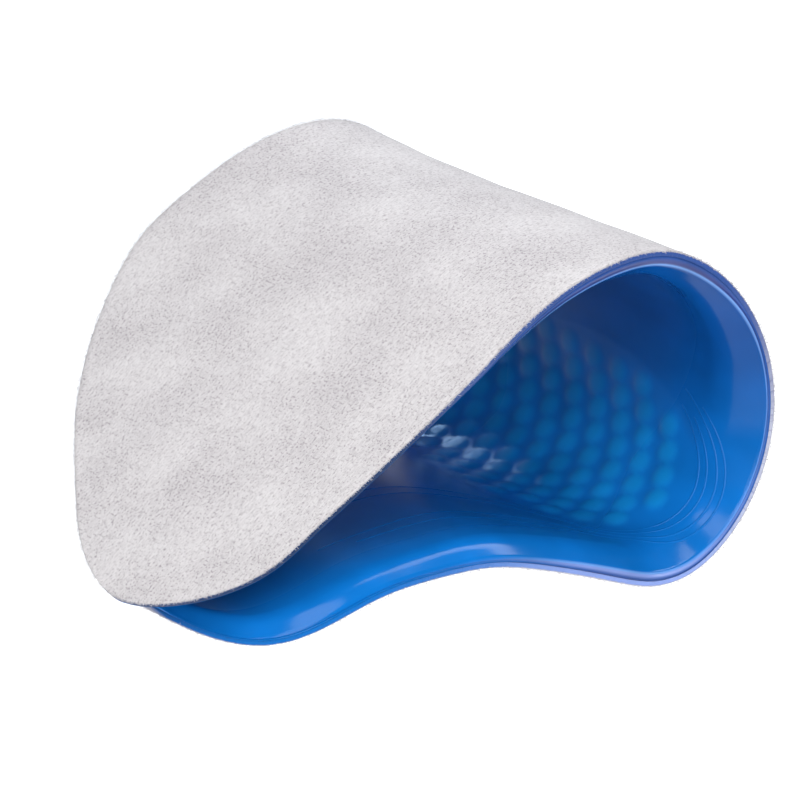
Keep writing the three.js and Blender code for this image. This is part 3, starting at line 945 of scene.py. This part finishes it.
class INSOLE_OT_edge_nap(bpy.types.Operator):
    """Grows the loose fibres along the cut edge of the suede cloth"""

    bl_idname = "insole.edge_nap"
    bl_label = "Edge Nap"

    fibre_sides = 3
    # How far the feet of the fibres stray from the edge, in millimetres
    scatter = 0.25
    # How far inside the edge and the tips the points lie that the fibres lean away from, in millimetres
    inset = 3
    tip_inset = 6
    # How far they lean up as they lean out, how far chance tilts them, and the shortest as a share of the longest
    upward_lean = 0.35
    tilt = 0.8
    shortest = 0.3

    def execute(self, context):
        layers, nap = context.scene.insole_layers, context.scene.insole_nap
        piece = new_object("suede_edge_nap", self.cut_edge(FoldedSole(layers.length), layers))
        grow(piece, self.nap_tree(), {
            "Count": nap.count,
            "Length": nap.fibre,
            "Radius": nap.fibre_radius,
            "Scatter": self.scatter * MM,
            "Seed": nap.seed,
            "Material": fibre_material(),
        })
        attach(piece, BODY)
        return {"FINISHED"}

    def cut_edge(self, sole, layers):
        """The cut edge as a closed line, which keeps the way that the fibres lean."""
        along = sole.stations()
        loop = np.concatenate([along, along[::-1]])
        side = np.concatenate([-np.ones_like(along), np.ones_like(along)])
        half = sole.half_width(loop)
        depth = CUT_LEVELS[0].share / 2 * layers.cloth / MM
        across = sole.middle(loop) + side * half
        edge = sole.points(loop, across, depth)
        inside = sole.points(np.clip(loop, self.tip_inset, sole.length - self.tip_inset),
                             sole.middle(loop) + side * (half - self.inset), depth)
        above = sole.points(loop, across, depth - 1)
        outward = (edge - inside) / np.linalg.norm(edge - inside, axis=1, keepdims=True)
        upward = (above - edge) / MM
        return line_mesh("suede_edge_nap", [(edge, True)], {"lean": outward + self.upward_lean * upward})

    def nap_tree(self):
        """Sets thin cones along the edge, which lean out of it at random.

        A Random Value node takes the ends of a vector's range first, and then those of a number's.
        """
        tree, given = new_tree("Edge Nap", {
            "Count": "NodeSocketInt",
            "Length": "NodeSocketFloat",
            "Radius": "NodeSocketFloat",
            "Scatter": "NodeSocketFloat",
            "Seed": "NodeSocketInt",
            "Material": "NodeSocketMaterial",
        })
        line = add_node(tree, "GeometryNodeMeshToCurve", {"Mesh": given["Geometry"]})
        feet = add_node(tree, "GeometryNodeResampleCurve", {"Curve": line.outputs["Curve"], "Count": given["Count"]})
        points = add_node(tree, "GeometryNodeCurveToPoints", {"Curve": feet.outputs["Curve"]}, mode="EVALUATED")
        low = add_node(tree, "ShaderNodeVectorMath", {0: (-1, -1, -1), "Scale": given["Scatter"]}, operation="SCALE")
        high = add_node(tree, "ShaderNodeVectorMath", {0: (1, 1, 1), "Scale": given["Scatter"]}, operation="SCALE")
        jitter = add_node(tree, "FunctionNodeRandomValue", {
            0: low.outputs[0], 1: high.outputs[0], "Seed": given["Seed"]}, data_type="FLOAT_VECTOR")
        spread = add_node(tree, "GeometryNodeSetPosition", {
            "Geometry": points.outputs["Points"], "Offset": jitter.outputs[0]})
        lean = add_node(tree, "GeometryNodeInputNamedAttribute", {"Name": "lean"}, data_type="FLOAT_VECTOR")
        tilt_seed = add_node(tree, "ShaderNodeMath", {0: given["Seed"], 1: 1}, operation="ADD")
        tilt = add_node(tree, "FunctionNodeRandomValue", {
            0: [-self.tilt] * 3, 1: [self.tilt] * 3, "Seed": tilt_seed.outputs[0]}, data_type="FLOAT_VECTOR")
        way = add_node(tree, "ShaderNodeVectorMath", {
            0: lean.outputs["Attribute"], 1: tilt.outputs[0]}, operation="ADD")
        turn = add_node(tree, "FunctionNodeAlignRotationToVector", {"Vector": way.outputs[0]}, axis="Z")
        size_seed = add_node(tree, "ShaderNodeMath", {0: given["Seed"], 1: 2}, operation="ADD")
        size = add_node(tree, "FunctionNodeRandomValue", {
            2: self.shortest, 3: 1.0, "Seed": size_seed.outputs[0]}, data_type="FLOAT")
        fibre = add_node(tree, "GeometryNodeMeshCone", {
            "Vertices": self.fibre_sides, "Radius Top": 0.0, "Radius Bottom": given["Radius"],
            "Depth": given["Length"]})
        grown = add_node(tree, "GeometryNodeInstanceOnPoints", {
            "Points": spread.outputs["Geometry"], "Instance": fibre.outputs["Mesh"],
            "Rotation": turn.outputs["Rotation"], "Scale": size.outputs[1]})
        close_tree(tree, grown.outputs["Instances"], given["Material"])
        return tree


# A soft box: its place from the camera target, width and height in metres, power in watts and tint
SoftBox = namedtuple("SoftBox", "name place width height power tint")
SOFT_BOXES = (
    SoftBox("key_box", (0.7, -0.05, 0.96), 0.4, 1.1, 11.0, "ffffff"),
    SoftBox("front_box", (-0.5, -0.61, 0.62), 0.5, 1.6, 16.0, "ffffff"),
    SoftBox("back_box", (0.45, 0.9, 0.58), 0.16, 0.5, 2.4, "b0d8ff"),
    SoftBox("side_strip", (-0.95, -0.42, 0.36), 0.08, 0.5, 1.6, "ffffff"),
)


class INSOLE_OT_stage(bpy.types.Operator):
    """Sets the pale floor, the soft studio light and the camera"""

    bl_idname = "insole.stage"
    bl_label = "Stage"

    sensor_width = 36.0
    floor_size = 8.0
    world_strength = 0.1

    def execute(self, context):
        scene, stage = context.scene, context.scene.insole_stage
        target = Vector(stage.target)
        look = Vector((math.sin(stage.heading) * math.cos(stage.elevation),
                       math.cos(stage.heading) * math.cos(stage.elevation),
                       -math.sin(stage.elevation)))
        camera = new_object("camera", bpy.data.cameras.new("camera"))
        camera.data.sensor_width = self.sensor_width
        camera.data.lens = stage.lens
        camera.location = target - look * stage.distance
        camera.rotation_euler = look.to_track_quat("-Z", "Y").to_euler()
        scene.camera = camera
        reach = self.floor_size / 2
        floor_mesh = bpy.data.meshes.new("floor")
        level = CAD_BOX[0][2] - stage.floor_drop
        floor_mesh.from_pydata(
            [(-reach, -reach, level), (reach, -reach, level), (reach, reach, level), (-reach, reach, level)],
            [], [(0, 1, 2, 3)])
        floor_mesh.materials.append(floor_material())
        new_object("floor", floor_mesh)
        for box in SOFT_BOXES:
            light = bpy.data.lights.new(box.name, "AREA")
            light.shape = "RECTANGLE"
            light.size = box.width
            light.size_y = box.height
            light.energy = box.power
            light.color = srgb(box.tint)
            lamp = new_object(box.name, light)
            lamp.location = target + Vector(box.place)
            lamp.rotation_euler = Vector(box.place).to_track_quat("Z", "Y").to_euler()
        scene.world = bpy.data.worlds.new("studio")
        scene.world.use_nodes = True
        sky = scene.world.node_tree.nodes["Background"]
        sky.inputs["Color"].default_value = (1.0, 1.0, 1.0, 1.0)
        sky.inputs["Strength"].default_value = self.world_strength
        scene.view_settings.view_transform = "Standard"
        return {"FINISHED"}


class INSOLE_PT_build(bpy.types.Panel):
    """Sizes and steps of the insole"""

    bl_idname = "INSOLE_PT_build"
    bl_label = "Folded Gel Insole"
    bl_space_type = "VIEW_3D"
    bl_region_type = "UI"
    bl_category = "Insole"

    def draw(self, context):
        for name in GROUPS:
            box = self.layout.box()
            group = getattr(context.scene, name)
            for prop in group.__annotations__:
                box.prop(group, prop)
        for step in STEPS:
            self.layout.operator(step.bl_idname)


GROUPS = {
    "insole_layers": InsoleLayers,
    "insole_relief": InsoleRelief,
    "insole_nap": InsoleNap,
    "insole_finish": InsoleFinish,
    "insole_stage": InsoleStage,
}
STEPS = (INSOLE_OT_gel_sole, INSOLE_OT_flow_lines, INSOLE_OT_edge_nap, INSOLE_OT_suede_cover, INSOLE_OT_stage)


def register():
    """Registers the properties, the steps and the panel."""
    for name, group in GROUPS.items():
        bpy.utils.register_class(group)
        setattr(bpy.types.Scene, name, PointerProperty(type=group))
    for step in (*STEPS, INSOLE_PT_build):
        bpy.utils.register_class(step)


def unregister():
    """Takes them all away again."""
    for step in (INSOLE_PT_build, *reversed(STEPS)):
        bpy.utils.unregister_class(step)
    for name, group in GROUPS.items():
        delattr(bpy.types.Scene, name)
        bpy.utils.unregister_class(group)


def main():
    """Builds the insole and its stage."""
    register()
    bpy.ops.insole.gel_sole()
    bpy.ops.insole.flow_lines()
    bpy.ops.insole.edge_nap()
    bpy.ops.insole.suede_cover()
    bpy.ops.insole.stage()


if __name__ == "__main__":
    main()
